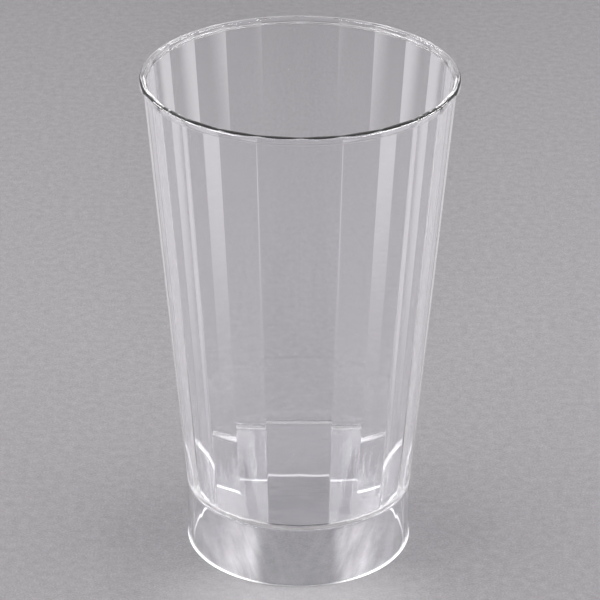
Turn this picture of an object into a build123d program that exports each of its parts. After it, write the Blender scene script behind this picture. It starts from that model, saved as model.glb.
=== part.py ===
"""Clear plastic tumbler: one injection-moulded piece, round outside and faceted inside.

The frame has its origin on the resting plane, at the centre of the base ring, with +Z up
through the mouth. An edge between two facets faces -Y. All sizes are in millimetres.
"""

from build123d import *
from math import cos, pi, radians, tan
import os

# ---- Overall ----
height = 130.0                # resting plane to the top of the rim
mouth_radius = 39.7           # outside of the rim bead
base_radius = 29.0            # outside of the base skirt, at the ring it stands on

# ---- Outside of the wall ----
bead_height = 1.9             # rim bead, from its underside to the top of the rim
bead_projection = 0.95        # how far the bead stands out from the wall below it
step_height = 17.7            # resting plane to the line where the wall meets the skirt
step_width = 0.2              # how far the wall overhangs the skirt at that line
skirt_draft = 0.3             # degrees the skirt widens by, from the ring up to the step

# ---- Inside ----
facet_count = 24              # flat upright facets round the drinking space
rim_wall = 1.05               # wall at the middle of a facet, just below the bead
step_wall = 1.0               # wall at the middle of a facet, level with the step
floor_thickness = 1.3         # web between the drinking space and the base recess
floor_above_step = 0.1        # top of the floor, above the step line
floor_corner = 0.9            # rounded corner where the facets meet the floor

# ---- Base recess ----
skirt_wall = 1.4              # thickness of the skirt round the recess
recess_corner = 0.6           # rounded corner where the skirt meets the web

# ---- Rounded edges ----
lip_outer_round = 0.8         # top outer edge of the rim
lip_inner_round = 0.5         # top inner edge of the rim
bead_underside_round = 0.6    # lower outer edge of the bead
ring_round = 0.35             # both edges of the ring the cup stands on
lip_flat = 0.15               # least flat left between the two roundings of the rim

# ---- Worked out from the sizes above ----
wall_top_z = height - bead_height
wall_top_radius = mouth_radius - bead_projection
skirt_top_radius = base_radius + step_height * tan(radians(skirt_draft))
step_radius = skirt_top_radius + step_width
floor_z = step_height + floor_above_step
web_underside_z = floor_z - floor_thickness
recess_radius = base_radius - skirt_wall
facet_slope = (wall_top_radius - rim_wall - step_radius + step_wall) / (wall_top_z - step_height)


def facet_distance(z):
    """Distance from the axis to the middle of every facet at height z."""
    return step_radius - step_wall + facet_slope * (z - step_height)


def lip_inner_limit():
    """Inner rounding of the rim, held to what its narrowest place, at a facet edge, leaves."""
    narrowest = mouth_radius - facet_distance(height) / cos(pi / facet_count)
    return min(lip_inner_round, narrowest - lip_outer_round - lip_flat)


def round_outside():
    """Turn the outside: skirt, step, tapered wall and rim bead, its top edge still sharp."""
    with BuildPart() as body:
        with BuildSketch(Plane.XZ):
            with BuildLine():
                Polyline(
                    (0, 0),
                    (base_radius, 0),
                    (skirt_top_radius, step_height),
                    (step_radius, step_height),
                    (wall_top_radius, wall_top_z),
                    (mouth_radius, wall_top_z),
                    (mouth_radius, height),
                    (0, height),
                    close=True,
                )
            make_face()
        revolve(axis=Axis.Z)
        circles = body.edges().filter_by(GeomType.CIRCLE)
        fillet(circles.sort_by(Axis.Z)[0], ring_round)
        bead = circles.filter_by(lambda edge: abs(edge.radius - mouth_radius) < 1e-6)
        fillet(bead.sort_by(Axis.Z)[0], bead_underside_round)
    return body.part


def faceted_inside():
    """Loft the drinking space: a tapered prism of flat facets with a rounded floor corner."""
    with BuildPart() as space:
        for z in (floor_z, height):
            with BuildSketch(Plane.XY.offset(z)):
                RegularPolygon(
                    facet_distance(z), facet_count, major_radius=False, rotation=90
                )
        loft(ruled=True)
        fillet(space.edges().group_by(Axis.Z)[0], floor_corner)
    return space.part


def base_recess():
    """Turn the open recess under the floor web, as wide as the skirt's wall leaves it."""
    with BuildPart() as recess:
        with BuildSketch(Plane.XZ):
            with BuildLine():
                Polyline(
                    (0, 0),
                    (recess_radius, 0),
                    (recess_radius, web_underside_z),
                    (0, web_underside_z),
                    close=True,
                )
            make_face()
        revolve(axis=Axis.Z)
        circles = recess.edges().filter_by(GeomType.CIRCLE)
        fillet(circles.sort_by(Axis.Z)[-1], recess_corner)
    return recess.part


def tumbler():
    """Cut out the drinking space and the base recess, then round the edges the cuts leave."""
    with BuildPart() as cup:
        add(round_outside())
        add(faceted_inside(), mode=Mode.SUBTRACT)
        add(base_recess(), mode=Mode.SUBTRACT)
        rim_top = cup.faces().sort_by(Axis.Z)[-1]
        fillet(rim_top.inner_wires()[0].edges(), lip_inner_limit())
        fillet(cup.edges().filter_by(GeomType.CIRCLE).sort_by(Axis.Z)[-1], lip_outer_round)
        ring = cup.edges().filter_by(GeomType.CIRCLE).group_by(Axis.Z)[0]
        fillet(ring.sort_by(lambda edge: edge.radius)[0], ring_round)
    return cup.part.solid()


os.makedirs("parts", exist_ok=True)
cup = tumbler()
cup.label = "tumbler"
export_step(cup, "parts/tumbler.step")
print(f"volume {cup.volume / 1000:.2f} cm3")
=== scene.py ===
"""Looks of the clear plastic tumbler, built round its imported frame.

Lengths are in metres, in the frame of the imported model: +Z up through the mouth, origin at the
centre of the ring that the tumbler stands on, and an edge between two inside facets facing -Y.
"""

from math import radians

import bpy
import numpy as np
from mathutils import Euler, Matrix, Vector


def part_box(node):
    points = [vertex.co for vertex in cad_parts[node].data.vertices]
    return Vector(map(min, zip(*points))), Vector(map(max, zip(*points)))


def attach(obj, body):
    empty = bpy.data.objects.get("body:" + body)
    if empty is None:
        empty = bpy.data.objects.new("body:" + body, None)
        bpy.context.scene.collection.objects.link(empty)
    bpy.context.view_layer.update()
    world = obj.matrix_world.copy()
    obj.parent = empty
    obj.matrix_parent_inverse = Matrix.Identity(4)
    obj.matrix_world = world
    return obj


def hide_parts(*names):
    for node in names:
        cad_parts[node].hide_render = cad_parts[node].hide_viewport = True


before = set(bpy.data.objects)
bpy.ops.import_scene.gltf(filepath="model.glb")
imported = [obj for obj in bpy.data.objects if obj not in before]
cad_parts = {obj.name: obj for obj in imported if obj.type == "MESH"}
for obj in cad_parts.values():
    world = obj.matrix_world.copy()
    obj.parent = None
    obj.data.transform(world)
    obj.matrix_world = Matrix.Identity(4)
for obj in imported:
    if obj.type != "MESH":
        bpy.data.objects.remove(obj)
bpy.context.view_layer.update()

MM = 0.001

# ---- Overall sizes, read from the frame ----
LOW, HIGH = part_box("tumbler")
HEIGHT = HIGH[2]
MOUTH_RADIUS = HIGH[0]

# ---- Outside of the wall ----
BASE_RADIUS = 29.0 * MM
BEAD_HEIGHT = 1.9 * MM
BEAD_PROJECTION = 0.95 * MM
STEP_HEIGHT = 17.7 * MM
STEP_WIDTH = 0.2 * MM
SKIRT_DRAFT = radians(0.3)

# ---- Inside ----
FACET_COUNT = 24
FACET_EDGE_ROUND = 1.3 * MM
RIM_WALL = 1.05 * MM
STEP_WALL = 1.0 * MM
FLOOR_THICKNESS = 1.3 * MM
FLOOR_ABOVE_STEP = 0.1 * MM
FLOOR_CORNER = 0.9 * MM

# ---- Base recess ----
SKIRT_WALL = 1.4 * MM
RECESS_CORNER = 0.6 * MM

# ---- Rounded edges ----
LIP_OUTER_ROUND = 0.8 * MM
LIP_INNER_ROUND = 0.5 * MM
BEAD_UNDERSIDE_ROUND = 0.6 * MM
BEAD_ROOT_ROUND = 0.25 * MM
RING_ROUND = 0.35 * MM
STEP_ROUND = 0.05 * MM

# ---- Worked out from the sizes above ----
WALL_TOP_Z = HEIGHT - BEAD_HEIGHT
WALL_TOP_RADIUS = MOUTH_RADIUS - BEAD_PROJECTION
SKIRT_TOP_RADIUS = BASE_RADIUS + STEP_HEIGHT * np.tan(SKIRT_DRAFT)
STEP_RADIUS = SKIRT_TOP_RADIUS + STEP_WIDTH
FLOOR_Z = STEP_HEIGHT + FLOOR_ABOVE_STEP
WEB_UNDERSIDE_Z = FLOOR_Z - FLOOR_THICKNESS
RECESS_RADIUS = BASE_RADIUS - SKIRT_WALL
FACET_SLOPE = (WALL_TOP_RADIUS - RIM_WALL - STEP_RADIUS + STEP_WALL) / (WALL_TOP_Z - STEP_HEIGHT)
HALF_FACET = np.pi / FACET_COUNT

# ---- How finely the surface is sampled ----
ARC_STEPS = 6                       # along each rounding of the section
LEG_STEP = 6 * MM                   # along each straight leg
LEG_SUPPORT = 0.15 * MM             # from each end of a leg to the point nearest it
LEG_SUPPORT_SHARE = 0.25            # of the leg, at most
AZIMUTHS_NEAR_EDGE = np.radians([0.0, 0.15, 0.3, 0.5, 1.2, 3.0, 5.2])
LEAST_OUTLINE_RADIUS = 4 * MM       # rows nearer the axis keep the outline they have here
LIP_MARGIN = 0.01 * MM              # tells the lip's flat from its inner rounding


def facet_distance(z):
    """Distance from the axis to the middle of every facet at height z: a straight line in z."""
    return STEP_RADIUS - STEP_WALL + FACET_SLOPE * (z - STEP_HEIGHT)


# ---------------------------------------------------------------- section

def leg(start, end):
    """A straight leg of the section, sampled evenly, with a support point near each end.

    Point = start + t * (end - start), for t at the supports and at even steps between them.
    """
    start, end = np.array(start), np.array(end)
    length = np.linalg.norm(end - start)
    margin = min(LEG_SUPPORT / length, LEG_SUPPORT_SHARE)
    count = max(int(length / LEG_STEP), 1)
    t = np.concatenate(([0.0], np.linspace(margin, 1.0 - margin, count + 1)))
    return start + t[:, None] * (end - start)


def rounded_section(corners):
    """Join the corners by straight legs and round each inner corner with an arc of its own radius.

    A corner is (radius, height, rounding). Its arc touches both legs at rounding times the
    tangent of half the turn from the corner, and is swept evenly from one tangent point up to the
    other, which the next leg starts at.
    """
    points = np.array([corner[:2] for corner in corners])
    rounding = np.array([corner[2] for corner in corners])
    pieces = []
    leave = points[0]
    for i in range(1, len(points) - 1):
        into = points[i] - points[i - 1]
        out = points[i + 1] - points[i]
        into, out = into / np.linalg.norm(into), out / np.linalg.norm(out)
        turn = np.arccos(np.clip(into @ out, -1.0, 1.0))
        reach = rounding[i] * np.tan(turn / 2)
        arrive = points[i] - into * reach
        pieces.append(leg(leave, arrive))
        side = np.sign(into[0] * out[1] - into[1] * out[0])
        normal = side * np.array([-into[1], into[0]])
        centre = arrive + normal * rounding[i]
        sweep = np.linspace(0.0, turn, ARC_STEPS + 1)[:-1, None]
        pieces.append(centre + rounding[i] * (np.sin(sweep) * into - np.cos(sweep) * normal))
        leave = points[i] + out * reach
    pieces.append(leg(leave, points[-1]))
    pieces.append(points[-1:])
    return np.concatenate(pieces)


# ---------------------------------------------------------------- surfaces of the tumbler

def facet_factor(angle, distance):
    """Radius at an angle, over the facet distance, on a regular polygon with rounded edges.

    From the middle of a facet the flat runs as 1 / cos(angle). Near an edge the radius follows
    a circle of FACET_EDGE_ROUND that touches both facets: c * cos(b) + sqrt(e^2 - c^2 * sin(b)^2),
    where b is the angle from the edge, e the rounding and c the distance to its centre.
    """
    from_edge = (angle + HALF_FACET) % (2 * HALF_FACET) - HALF_FACET
    from_middle = HALF_FACET - np.abs(from_edge)
    flat = 1.0 / np.cos(from_middle)
    inner = distance - FACET_EDGE_ROUND
    tangent = np.arctan2(inner * np.tan(HALF_FACET), distance)
    centre = inner / np.cos(HALF_FACET)
    under_root = FACET_EDGE_ROUND ** 2 - (centre * np.sin(from_edge)) ** 2
    arc = centre * np.cos(from_edge) + np.sqrt(np.maximum(under_root, 0.0))
    return np.where(from_middle <= tangent, flat, arc / distance)


def azimuths():
    """Angles round the axis, closest together at the facet edges, the first one facing -Y."""
    near_next_edge = 2 * HALF_FACET - AZIMUTHS_NEAR_EDGE[:0:-1]
    one_facet = np.concatenate((AZIMUTHS_NEAR_EDGE, [HALF_FACET], near_next_edge))
    starts = 2 * HALF_FACET * np.arange(FACET_COUNT)
    return (starts[:, None] + one_facet).ravel()


def closed_surface(name, section, faceted):
    """Carry a section round the axis and close it with a pole at each end.

    Point(angle, row) = (r * f * sin(angle), -r * f * cos(angle), z), where r and z are the
    row's, and f is 1 on round rows and facet_factor(angle, r) on faceted ones.
    """
    angle = azimuths()
    rows = section[1:-1]
    inside = faceted[1:-1]
    r = np.repeat(rows[:, :1], angle.size, axis=1)
    outline = facet_factor(angle[None, :], np.maximum(r, LEAST_OUTLINE_RADIUS))
    f = np.where(inside[:, None], outline, 1.0)
    x = r * f * np.sin(angle)
    y = -r * f * np.cos(angle)
    z = np.repeat(rows[:, 1:], angle.size, axis=1)
    grid = np.stack((x, y, z), axis=-1).reshape(-1, 3)
    poles = np.array([[0.0, 0.0, section[0, 1]], [0.0, 0.0, section[-1, 1]]])
    vertices = np.concatenate((grid, poles))

    around = np.arange(angle.size)
    onward = np.roll(around, -1)
    base = (np.arange(len(rows) - 1) * angle.size)[:, None]
    quads = np.stack((base + around, base + onward,
                      base + onward + angle.size, base + around + angle.size), axis=-1)
    first_pole, last_pole = len(grid), len(grid) + 1
    last_row = (len(rows) - 1) * angle.size
    low_fan = np.stack((np.full(angle.size, first_pole), onward, around), axis=-1)
    high_fan = np.stack((np.full(angle.size, last_pole),
                         last_row + around, last_row + onward), axis=-1)

    mesh = bpy.data.meshes.new(name)
    faces = quads.reshape(-1, 4).tolist() + low_fan.tolist() + high_fan.tolist()
    mesh.from_pydata(vertices, [], faces)
    mesh.polygons.foreach_set("use_smooth", np.ones(len(mesh.polygons), dtype=bool))
    mesh.update()
    piece = bpy.data.objects.new(name, mesh)
    bpy.context.scene.collection.objects.link(piece)
    return piece


def tumbler_section():
    """The whole section, from the pole under the web, round the wall, to the pole of the floor.

    The outside ends on the lip where the corners of the faceted inner rounding reach to. Of the
    inside's leg along the lip, only what lies within that rounding is kept.
    """
    lip_distance = facet_distance(HEIGHT)
    lip_flat_end = lip_distance + LIP_INNER_ROUND
    outside = [
        (0.0, WEB_UNDERSIDE_Z, 0.0),
        (RECESS_RADIUS, WEB_UNDERSIDE_Z, RECESS_CORNER),
        (RECESS_RADIUS, 0.0, RING_ROUND),
        (BASE_RADIUS, 0.0, RING_ROUND),
        (SKIRT_TOP_RADIUS, STEP_HEIGHT, STEP_ROUND),
        (STEP_RADIUS, STEP_HEIGHT, STEP_ROUND),
        (WALL_TOP_RADIUS, WALL_TOP_Z, BEAD_ROOT_ROUND),
        (MOUTH_RADIUS, WALL_TOP_Z, BEAD_UNDERSIDE_ROUND),
        (MOUTH_RADIUS, HEIGHT, LIP_OUTER_ROUND),
        (lip_flat_end / np.cos(HALF_FACET), HEIGHT, 0.0),
    ]
    inside = [
        (MOUTH_RADIUS, HEIGHT, 0.0),
        (lip_distance, HEIGHT, LIP_INNER_ROUND),
        (facet_distance(FLOOR_Z), FLOOR_Z, FLOOR_CORNER),
        (0.0, FLOOR_Z, 0.0),
    ]
    outer = rounded_section(outside)
    inner = rounded_section(inside)
    beyond_rounding = inner[:, 0] > lip_flat_end + LIP_MARGIN
    on_lip = inner[:, 1] > HEIGHT - LIP_MARGIN
    inner = inner[~(beyond_rounding & on_lip)]
    faceted = np.concatenate((np.zeros(len(outer), bool), np.ones(len(inner), bool)))
    return np.concatenate((outer, inner)), faceted


# ---------------------------------------------------------------- materials

def new_material(name):
    """A material, its node tree and the Principled shader that gives its surface."""
    material = bpy.data.materials.new(name)
    material.use_nodes = True
    tree = material.node_tree
    tree.nodes.clear()
    output = tree.nodes.new("ShaderNodeOutputMaterial")
    shader = tree.nodes.new("ShaderNodeBsdfPrincipled")
    tree.links.new(shader.outputs["BSDF"], output.inputs["Surface"])
    return material, tree, shader


def link_or_set(tree, value, socket):
    """Feed a socket from an output, or set it to a number."""
    if isinstance(value, (int, float)):
        socket.default_value = value
    else:
        tree.links.new(value, socket)


def math_node(tree, operation, first, second=0.0):
    """One step of arithmetic on outputs or numbers."""
    node = tree.nodes.new("ShaderNodeMath")
    node.operation = operation
    link_or_set(tree, first, node.inputs[0])
    link_or_set(tree, second, node.inputs[1])
    return node.outputs[0]


def smooth_step(tree, value, low, high, level):
    """A smooth step of a value, from 0 at low to level at high."""
    ramp = tree.nodes.new("ShaderNodeMapRange")
    ramp.interpolation_type = "SMOOTHSTEP"
    ramp.inputs["From Min"].default_value = low
    ramp.inputs["From Max"].default_value = high
    ramp.inputs["To Max"].default_value = level
    tree.links.new(value, ramp.inputs["Value"])
    return ramp.outputs["Result"]


def object_place(tree, stretch=(1.0, 1.0, 1.0)):
    """Object coordinates in metres, each axis multiplied by its stretch."""
    coordinates = tree.nodes.new("ShaderNodeTexCoord")
    scaled = tree.nodes.new("ShaderNodeVectorMath")
    scaled.operation = "MULTIPLY"
    scaled.inputs[1].default_value = stretch
    tree.links.new(coordinates.outputs["Object"], scaled.inputs[0])
    return scaled.outputs[0]


def noise(tree, place, scale, detail=2.0):
    """Noise between 0 and 1 at a place, with scale cells to the metre."""
    node = tree.nodes.new("ShaderNodeTexNoise")
    node.inputs["Scale"].default_value = scale
    node.inputs["Detail"].default_value = detail
    tree.links.new(place, node.inputs["Vector"])
    return node.outputs["Fac"]


def to_range(tree, value, low, high):
    """Spread the useful middle of a noise, 0.3 to 0.7, over low to high."""
    ramp = tree.nodes.new("ShaderNodeMapRange")
    ramp.inputs["From Min"].default_value = 0.3
    ramp.inputs["From Max"].default_value = 0.7
    ramp.inputs["To Min"].default_value = low
    ramp.inputs["To Max"].default_value = high
    tree.links.new(value, ramp.inputs["Value"])
    return ramp.outputs["Result"]


def two_colours(tree, value, first, second):
    """The colour between first and second that a value from 0 to 1 picks."""
    mix = tree.nodes.new("ShaderNodeMix")
    mix.data_type = "RGBA"
    tree.links.new(value, mix.inputs["Factor"])
    mix.inputs["A"].default_value = (*first, 1.0)
    mix.inputs["B"].default_value = (*second, 1.0)
    return mix.outputs["Result"]


# ---- Clear polystyrene ----
PLASTIC_IOR = 1.59
DEEPEST_TINT = (0.962, 0.958, 0.978)
PALEST_TINT = (0.982, 0.98, 0.99)
FLOW_STRETCH = (1.0, 1.0, 0.04)     # flow marks are drawn out 25 times along Z
FLOW_SCALE = 170.0                  # flow marks to the metre, round the wall
FLOW_RIPPLE = 0.004 * MM            # how high they stand
HAZE_SCALE = 60.0                   # patches of haze to the metre
HAZE_DETAIL = 5.0
ROUGHNESS_RANGE = (0.006, 0.03)     # from polished to hazed


def clear_plastic():
    """Clear polystyrene with a faint violet cast, polished as moulded.

    Flow marks run up the wall, as noise drawn out along Z: they ripple the surface by a few
    micrometres and shift the tint. Handling haze, a broader noise, roughens it in patches.
    """
    material, tree, shader = new_material("clear_polystyrene")
    flow = noise(tree, object_place(tree, FLOW_STRETCH), FLOW_SCALE)
    haze = noise(tree, object_place(tree), HAZE_SCALE, HAZE_DETAIL)
    tint = two_colours(tree, to_range(tree, flow, 0.0, 1.0), DEEPEST_TINT, PALEST_TINT)
    tree.links.new(tint, shader.inputs["Base Color"])
    tree.links.new(to_range(tree, haze, *ROUGHNESS_RANGE), shader.inputs["Roughness"])
    ripple = tree.nodes.new("ShaderNodeBump")
    ripple.inputs["Strength"].default_value = 1.0
    ripple.inputs["Distance"].default_value = FLOW_RIPPLE
    tree.links.new(flow, ripple.inputs["Height"])
    tree.links.new(ripple.outputs["Normal"], shader.inputs["Normal"])
    shader.inputs["Metallic"].default_value = 0.0
    shader.inputs["IOR"].default_value = PLASTIC_IOR
    shader.inputs["Transmission Weight"].default_value = 1.0
    return material


# ---- Backdrop paper ----
DARKEST_PAPER = (0.1332, 0.1292, 0.1345)
LIGHTEST_PAPER = (0.2268, 0.22, 0.2291)
PAPER_ROUGHNESS = 0.9
GRAIN_SCALE = 2000.0                # grains to the metre
MOTTLE_SCALE = 420.0                # coarser patches to the metre
PAPER_DETAIL = 3.0
GRAIN_SHARE = 0.65                  # of the shade; the mottle makes up the rest


def backdrop_paper():
    """Matt grey backdrop paper, with a fine grain and a coarser mottle in its shade."""
    material, tree, shader = new_material("backdrop_paper")
    grain = noise(tree, object_place(tree), GRAIN_SCALE, PAPER_DETAIL)
    mottle = noise(tree, object_place(tree), MOTTLE_SCALE, PAPER_DETAIL)
    shade = math_node(tree, "ADD", math_node(tree, "MULTIPLY", grain, GRAIN_SHARE),
                      math_node(tree, "MULTIPLY", mottle, 1.0 - GRAIN_SHARE))
    colour = two_colours(tree, to_range(tree, shade, 0.0, 1.0), DARKEST_PAPER, LIGHTEST_PAPER)
    tree.links.new(colour, shader.inputs["Base Color"])
    shader.inputs["Roughness"].default_value = PAPER_ROUGHNESS
    return material


# ---------------------------------------------------------------- the tumbler

section, faceted = tumbler_section()
tumbler = closed_surface("tumbler_cup", section, faceted)
tumbler.data.materials.append(clear_plastic())
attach(tumbler, "root")
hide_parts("tumbler")

# ---------------------------------------------------------------- the table

FLOOR_SIDE = 6.0


def level_square(name, side, height):
    """A flat square round the Z axis at a height, its place in its mesh."""
    half = side / 2
    corners = [(-half, -half, height), (half, -half, height),
               (half, half, height), (-half, half, height)]
    mesh = bpy.data.meshes.new(name)
    mesh.from_pydata(corners, [], [(0, 1, 2, 3)])
    square = bpy.data.objects.new(name, mesh)
    bpy.context.scene.collection.objects.link(square)
    return square


floor = level_square("floor", FLOOR_SIDE, 0.0)
floor.data.materials.append(backdrop_paper())

# ---------------------------------------------------------------- painted light added at the table

SHEET_SIDE = 2.4
# Colour of the painted light that the glowing sheets give off.
SHEET_COLOUR = (1.0, 0.98, 1.0, 1.0)
SIDE_GLOW_HEIGHT = 0.4 * MM
GATHERED_LIGHT_HEIGHT = 0.3 * MM

# A smooth step below is (where it starts, where it is whole, its level).
# Painted glow beside and before the tumbler, seen only in gloss and through the plastic.
GLOW_BESIDE = (28 * MM, 72 * MM, 0.25)          # distance to either side
GLOW_BEFORE = (70 * MM, 180 * MM, 0.14)         # distance towards -Y

# Painted light patches under the tumbler, standing in for light its walls gather there.
PATCH_RISE = (8 * MM, 12.5 * MM, 0.33)          # distance aside, where a patch starts
PATCH_FALL = (16 * MM, 23 * MM, 0.2)            # distance aside, where it weakens
PATCH_EVERYWHERE = 0.05
PATCH_EDGE = (27 * MM, 27.6 * MM, 1.0)          # radius, where both patches end
PATCH_BACK_LOSS = (-5 * MM, 12 * MM, 0.5)       # distance towards +Y
STREAK_SLANT = 0.22                             # aside for each unit towards +Y
STREAK_STRETCH = 0.12                           # streaks are drawn out 8 times along Y
STREAK_SCALE = 420.0
STREAK_DETAIL = 3.0
STREAK_RANGE = (0.55, 1.3)

# A painted ring of light under the ring that the tumbler stands on.
RING_LEVEL = 0.9
RING_INSIDE = (27.2 * MM, 27.6 * MM, RING_LEVEL)
RING_OUTSIDE = (29 * MM, 29.2 * MM, RING_LEVEL)
RING_ASIDE = (6 * MM, 20 * MM, 1.0)             # share of the ring, by the distance aside
RING_BACK = (0.0, 10 * MM, 0.42)                # and by the distance towards +Y

# A painted pool of light before the tumbler.
POOL_CENTRE = 36 * MM                           # towards -Y
POOL_SQUASH = 1.5
POOL_LEVEL = 0.13
POOL_FADE = (8 * MM, 46 * MM, POOL_LEVEL)       # distance from its centre
POOL_EDGE = (28.8 * MM, 29.6 * MM, 1.0)         # radius, where the pool starts


def distance(tree, x, y):
    """The square root of x * x + y * y."""
    return math_node(tree, "SQRT", math_node(tree, "ADD", math_node(tree, "MULTIPLY", x, x),
                                             math_node(tree, "MULTIPLY", y, y)))


def beside_and_before(tree, x, y):
    """Painted glow, as if the paper were lit more strongly beside the tumbler and a little before
    it, outside the view.

    The larger of two smooth steps: of the distance to either side, and of that towards -Y.
    """
    beside = smooth_step(tree, math_node(tree, "ABSOLUTE", x), *GLOW_BESIDE)
    before = smooth_step(tree, math_node(tree, "MULTIPLY", y, -1.0), *GLOW_BEFORE)
    return math_node(tree, "MAXIMUM", beside, before)


def streaks(tree, x, y):
    """Streaks in the painted light of the patches: noise drawn out along lines that near the middle
    towards -Y, different on either side.
    """
    aside = math_node(tree, "ABSOLUTE", x)
    place = tree.nodes.new("ShaderNodeCombineXYZ")
    slanted = math_node(tree, "SUBTRACT", aside, math_node(tree, "MULTIPLY", y, STREAK_SLANT))
    tree.links.new(slanted, place.inputs["X"])
    tree.links.new(math_node(tree, "MULTIPLY", y, STREAK_STRETCH), place.inputs["Y"])
    tree.links.new(math_node(tree, "SIGN", x), place.inputs["Z"])
    return to_range(tree, noise(tree, place.outputs[0], STREAK_SCALE, STREAK_DETAIL), *STREAK_RANGE)


def patches(tree, x, y):
    """Two streaked patches of painted light under the tumbler, weaker towards +Y.

    (rise - fall + everywhere) * streaks * (1 - step of the radius) * (1 - step of y), where rise
    and fall are steps of the distance aside.
    """
    aside = math_node(tree, "ABSOLUTE", x)
    level = math_node(tree, "SUBTRACT", smooth_step(tree, aside, *PATCH_RISE),
                      smooth_step(tree, aside, *PATCH_FALL))
    level = math_node(tree, "ADD", level, PATCH_EVERYWHERE)
    level = math_node(tree, "MULTIPLY", level, streaks(tree, x, y))
    edge = smooth_step(tree, distance(tree, x, y), *PATCH_EDGE)
    level = math_node(tree, "MULTIPLY", level, math_node(tree, "SUBTRACT", 1.0, edge))
    loss = smooth_step(tree, y, *PATCH_BACK_LOSS)
    return math_node(tree, "MULTIPLY", level, math_node(tree, "SUBTRACT", 1.0, loss))


def painted_light_ring(tree, x, y):
    """Painted light in the ring that the tumbler stands on: the difference of two steps of the
    radius.

    It is multiplied by the larger of a step of the distance aside and one of that towards +Y.
    """
    radius = distance(tree, x, y)
    level = math_node(tree, "SUBTRACT", smooth_step(tree, radius, *RING_INSIDE),
                      smooth_step(tree, radius, *RING_OUTSIDE))
    share = math_node(tree, "MAXIMUM",
                      smooth_step(tree, math_node(tree, "ABSOLUTE", x), *RING_ASIDE),
                      smooth_step(tree, y, *RING_BACK))
    return math_node(tree, "MULTIPLY", level, share)


def pool(tree, x, y):
    """A painted pool of light before the tumbler that fades with the distance from its centre,
    squashed along Y.
    """
    past = math_node(tree, "MULTIPLY", math_node(tree, "ADD", y, POOL_CENTRE), POOL_SQUASH)
    fade = smooth_step(tree, distance(tree, x, past), *POOL_FADE)
    level = math_node(tree, "SUBTRACT", POOL_LEVEL, fade)
    return math_node(tree, "MULTIPLY", level,
                     smooth_step(tree, distance(tree, x, y), *POOL_EDGE))


def painted_gathered_light(tree, x, y):
    """Painted light standing in for what the tumbler gathers on the paper: the patches, the ring
    and the pool, added up.
    """
    under = math_node(tree, "ADD", patches(tree, x, y), painted_light_ring(tree, x, y))
    return math_node(tree, "ADD", under, pool(tree, x, y))


def painted_light_sheet(name, height, pattern):
    """A sheet just over the paper that adds a pattern of painted light to what lies under it; it
    glows, though it is no lamp.
    """
    material = bpy.data.materials.new(name)
    material.use_nodes = True
    tree = material.node_tree
    tree.nodes.clear()
    output = tree.nodes.new("ShaderNodeOutputMaterial")
    add = tree.nodes.new("ShaderNodeAddShader")
    clear = tree.nodes.new("ShaderNodeBsdfTransparent")
    emission = tree.nodes.new("ShaderNodeEmission")
    emission.inputs["Color"].default_value = SHEET_COLOUR
    split = tree.nodes.new("ShaderNodeSeparateXYZ")
    tree.links.new(object_place(tree), split.inputs[0])
    level = pattern(tree, split.outputs["X"], split.outputs["Y"])
    tree.links.new(level, emission.inputs["Strength"])
    tree.links.new(clear.outputs[0], add.inputs[0])
    tree.links.new(emission.outputs[0], add.inputs[1])
    tree.links.new(add.outputs[0], output.inputs["Surface"])
    sheet = level_square(name, SHEET_SIDE, height)
    sheet.data.materials.append(material)
    sheet.visible_diffuse = False
    sheet.visible_shadow = False
    return sheet


# The painted side glow shows in gloss and through the clear plastic, and nowhere else.
painted_side_glow = painted_light_sheet("painted_side_glow", SIDE_GLOW_HEIGHT, beside_and_before)
painted_side_glow.visible_camera = False
# Painted light under and before the tumbler: patches, ring and pool.
painted_light_sheet("painted_gathered_light", GATHERED_LIGHT_HEIGHT, painted_gathered_light)

# ---------------------------------------------------------------- lamps

STRIP_PLACE = 0.45                  # aside, and as high
STRIP_WIDTH = 0.10
STRIP_LENGTH = 0.90
STRIP_POWER = 5.2
CARD_PLACE = (0.9, 0.1, 0.35)       # of the right one
CARD_TARGET = (0.0, 0.1, 0.2)
CARD_WIDTH = 1.6
CARD_HEIGHT = 0.7
CARD_RADIANCE = 0.6
STUDIO_COLOUR = (1.0, 0.985, 1.0, 1.0)
STUDIO_STRENGTH = 0.6


def softbox(name, place, target, width, height, power, up="Y"):
    """A rectangular area light facing a target, its own up axis uppermost, unseen by the camera."""
    light = bpy.data.lights.new(name, "AREA")
    light.shape = "RECTANGLE"
    light.size = width
    light.size_y = height
    light.energy = power
    lamp = bpy.data.objects.new(name, light)
    bpy.context.scene.collection.objects.link(lamp)
    lamp.location = place
    facing = Vector(target) - Vector(place)
    lamp.rotation_euler = facing.to_track_quat("-Z", up).to_euler()
    lamp.visible_camera = False
    return lamp


def card(name, place, target, width, height, radiance):
    """A white card: an area light that only shows in gloss and through clear plastic."""
    lamp = softbox(name, place, target, width, height, radiance * width * height * np.pi)
    lamp.visible_diffuse = False


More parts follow.
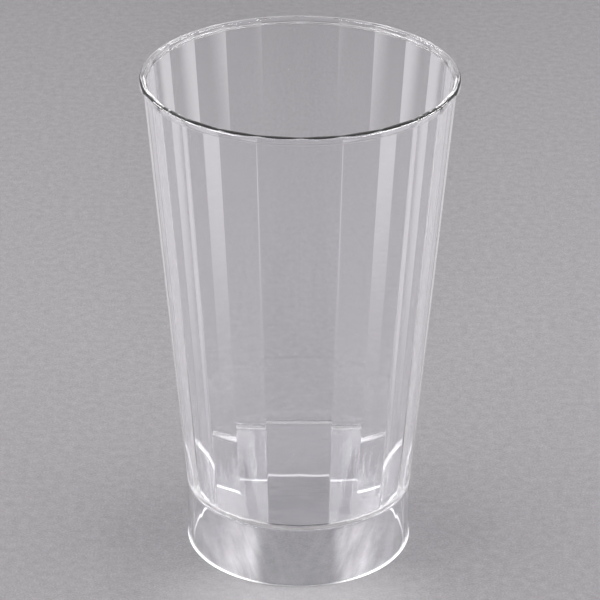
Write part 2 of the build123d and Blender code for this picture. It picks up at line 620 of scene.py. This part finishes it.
for side, label in ((-1, "left"), (1, "right")):
    softbox(f"strip_{label}", (side * STRIP_PLACE, 0.0, STRIP_PLACE), (0.0, 0.0, 0.0),
            STRIP_WIDTH, STRIP_LENGTH, STRIP_POWER, up="X")
    card(f"card_{label}", (side * CARD_PLACE[0], *CARD_PLACE[1:]), CARD_TARGET,
         CARD_WIDTH, CARD_HEIGHT, CARD_RADIANCE)

world = bpy.data.worlds.new("studio")
bpy.context.scene.world = world
world.use_nodes = True
background = world.node_tree.nodes["Background"]
background.inputs["Color"].default_value = STUDIO_COLOUR
background.inputs["Strength"].default_value = STUDIO_STRENGTH

# ---------------------------------------------------------------- camera

CAMERA_DISTANCE = 0.760
CAMERA_HEIGHT = 0.448
CAMERA_PITCH = radians(26.575)
CAMERA_ROLL = radians(0.198)
CAMERA_LENS = 200.1                 # millimetres, for the sensor below
CAMERA_SENSOR = 36.0
CAMERA_SHIFT = 0.00115              # share of the picture's width
CAMERA_CLIP_END = 20.0

camera_data = bpy.data.cameras.new("camera")
camera_data.lens = CAMERA_LENS
camera_data.sensor_width = CAMERA_SENSOR
camera_data.shift_x = CAMERA_SHIFT
camera_data.clip_end = CAMERA_CLIP_END
camera = bpy.data.objects.new("camera", camera_data)
bpy.context.scene.collection.objects.link(camera)
camera.location = (0.0, -CAMERA_DISTANCE, CAMERA_HEIGHT)
tilt = Euler((radians(90) - CAMERA_PITCH, 0.0, 0.0)).to_matrix()
camera.rotation_euler = (tilt @ Euler((0.0, 0.0, CAMERA_ROLL)).to_matrix()).to_euler()
bpy.context.scene.camera = camera

# ---------------------------------------------------------------- light paths

# What is seen through the clear plastic stays sharp, and light trapped in its walls is followed
# until it gets out.
MOST_BOUNCES = 40
MOST_PLASTIC_BOUNCES = 32
cycles = bpy.context.scene.cycles
cycles.blur_glossy = 0.0
cycles.max_bounces = MOST_BOUNCES
cycles.glossy_bounces = MOST_PLASTIC_BOUNCES
cycles.transmission_bounces = MOST_PLASTIC_BOUNCES
bpy.context.scene.view_settings.view_transform = "Standard"
